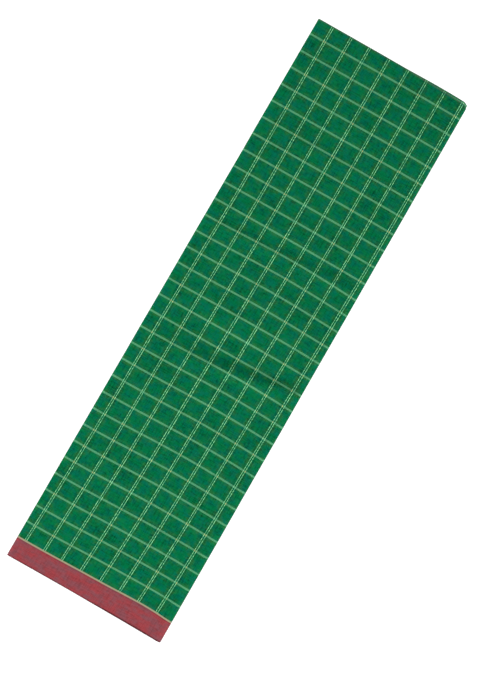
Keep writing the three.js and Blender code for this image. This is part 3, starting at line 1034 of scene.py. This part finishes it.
def joined(name, parts):
    """Several mesh objects as one."""
    with bpy.context.temp_override(active_object=parts[0], object=parts[0],
                                   selected_objects=parts, selected_editable_objects=parts):
        bpy.ops.object.join()
    parts[0].name = name
    parts[0].data.name = name
    return parts[0]


def hand_in(made, node, width):
    """Gives a finished piece of cloth to the frame and hides its part there. The width, the size it was cut
    to in millimetres, is not used.
    """
    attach(made, "root")
    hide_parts(node)
    width * MM


class SAREE_OT_outer_wrap(bpy.types.Operator):
    """Build the outermost doubled cloth: its checked field and its border"""

    bl_idname = "saree.outer_wrap"
    bl_label = "Outer Wrap"

    def execute(self, context):
        weave, colours = context.scene.saree_weave, context.scene.saree_colours
        strand = Strand()
        field = shell("outer_field_cloth", strand, field_rows(), weave)
        plies = [shell("border_ply", strand, border_rows(under), weave) for under in (False, True)]
        border = joined("outer_border_cloth", plies)
        field.data.materials.append(green_cloth(weave, colours))
        border.data.materials.append(maroon_cloth(weave, colours))
        hand_in(field, "outer_field", strand.girth)
        hand_in(border, "outer_border", strand.girth)
        return {"FINISHED"}


class SAREE_OT_hidden_leaves(bpy.types.Operator):
    """Build the hidden leaves inside the wrap, layered at the ends and at the left folds"""

    bl_idname = "saree.hidden_leaves"
    bl_label = "Hidden Leaves"

    def execute(self, context):
        weave, colours = context.scene.saree_weave, context.scene.saree_colours
        strand = Strand()
        places = stations(SEAM, FAR, **HIDDEN_STEPS)
        field = ribbon("hidden_field_cloth", strand, SEAM, FAR, places, DOUBLED_HALF, weave)
        with_plies(field, green_cloth(weave, colours), 1, DOUBLED, 0.0)
        places = [NEAR + d for d in HIDDEN_BORDER_ROWS]
        border = ribbon("hidden_border_cloth", strand, NEAR, SEAM, places, PLY_HALF, weave)
        with_plies(border, maroon_cloth(weave, colours), 2, PLY, RAGGED_PLIES["amount"])
        hand_in(field, "inner_field", strand.hidden_run)
        hand_in(border, "inner_border", strand.hidden_run)
        return {"FINISHED"}


class SAREE_OT_stage(bpy.types.Operator):
    """Set the pale floor, the soft light and the camera"""

    bl_idname = "saree.stage"
    bl_label = "Stage"

    def execute(self, context):
        studio = context.scene.saree_studio
        self.floor(context.scene, studio)
        self.lights(context.scene, studio)
        self.camera(context.scene, studio)
        context.scene.view_settings.view_transform = "Standard"
        return {"FINISHED"}

    def floor(self, scene, studio):
        corners = [(x * FLOOR_HALF, y * FLOOR_HALF, -FLOOR_DROP)
                   for x, y in ((-1, -1), (1, -1), (1, 1), (-1, 1))]
        mesh = bpy.data.meshes.new("floor")
        mesh.from_pydata(corners, [], [(0, 1, 2, 3)])
        floor = bpy.data.objects.new("floor", mesh)
        scene.collection.objects.link(floor)
        material = bpy.data.materials.new("white_floor")
        material.use_nodes = True
        surface = material.node_tree.nodes["Principled BSDF"].inputs
        surface["Base Color"].default_value = (FLOOR_GREY, FLOOR_GREY, FLOOR_GREY, 1.0)
        surface["Roughness"].default_value = FLOOR_ROUGHNESS
        surface["Emission Color"].default_value = (1.0, 1.0, 1.0, 1.0)
        surface["Emission Strength"].default_value = studio.floor_glow
        mesh.materials.append(material)

    def lights(self, scene, studio):
        world = bpy.data.worlds.new("studio")
        world.use_nodes = True
        background = world.node_tree.nodes["Background"]
        background.inputs["Color"].default_value = (1.0, 1.0, 1.0, 1.0)
        background.inputs["Strength"].default_value = studio.sky
        scene.world = world
        key = bpy.data.lights.new("key", "SUN")
        key.energy = studio.key
        key.angle = KEY_SPREAD
        self.aim(scene, key, LAMP_PLACE, (0.0, -math.cos(studio.key_height), -math.sin(studio.key_height)))
        self.panel(scene, "fill", studio.fill, FILL_PLACE, FILL_TARGET)
        for name, side in (("left", -1), ("right", 1)):
            place = (SIDE_PANEL_X * side, 0.0, SIDE_PANEL_Z)
            self.panel(scene, name, studio.sides, place, (0.0, 0.0, 0.0))

    def panel(self, scene, name, power, place, target):
        """A soft square light at a place, turned to a target."""
        light = bpy.data.lights.new(name, "AREA")
        light.size = PANEL_SIZE
        light.energy = power
        self.aim(scene, light, place, Vector(target) - Vector(place))

    def aim(self, scene, light, place, direction):
        """Puts a light at a place, shining in a direction."""
        lamp = bpy.data.objects.new(light.name, light)
        lamp.location = place
        lamp.rotation_euler = Vector(direction).to_track_quat("-Z", "Y").to_euler()
        scene.collection.objects.link(lamp)

    def camera(self, scene, studio):
        lens = bpy.data.cameras.new("camera")
        lens.type = "PERSP"
        lens.sensor_width = SENSOR_MM
        lens.lens = lens.sensor_width * studio.camera_height / studio.view_length
        lens.clip_end = VIEW_DEPTH
        camera = bpy.data.objects.new("camera", lens)
        camera.location = (*VIEW_CENTRE, HEIGHT * MM + studio.camera_height)
        camera.rotation_euler = (0.0, 0.0, studio.turn)
        scene.collection.objects.link(camera)
        scene.camera = camera


class SAREE_PT_panel(bpy.types.Panel):
    """The saree's pieces and their settings"""

    bl_idname = "SAREE_PT_panel"
    bl_label = "Folded Saree"
    bl_space_type = "VIEW_3D"
    bl_region_type = "UI"
    bl_category = "Saree"

    def draw(self, context):
        for operator in OPERATORS:
            self.layout.operator(operator.bl_idname)
        for group_name in GROUPS:
            group = getattr(context.scene, group_name)
            box = self.layout.box()
            for name in group.__annotations__:
                box.prop(group, name)


OPERATORS = (SAREE_OT_outer_wrap, SAREE_OT_hidden_leaves, SAREE_OT_stage)
GROUPS = {"saree_weave": SareeWeave, "saree_colours": SareeColours, "saree_studio": SareeStudio}


def register():
    for cls in (*GROUPS.values(), *OPERATORS, SAREE_PT_panel):
        bpy.utils.register_class(cls)
    for name, cls in GROUPS.items():
        setattr(bpy.types.Scene, name, bpy.props.PointerProperty(type=cls))


def unregister():
    for name in GROUPS:
        delattr(bpy.types.Scene, name)
    for cls in (SAREE_PT_panel, *OPERATORS, *GROUPS.values()):
        bpy.utils.unregister_class(cls)


def main():
    register()
    bpy.ops.saree.outer_wrap()
    bpy.ops.saree.hidden_leaves()
    bpy.ops.saree.stage()


if __name__ == "__main__":
    main()
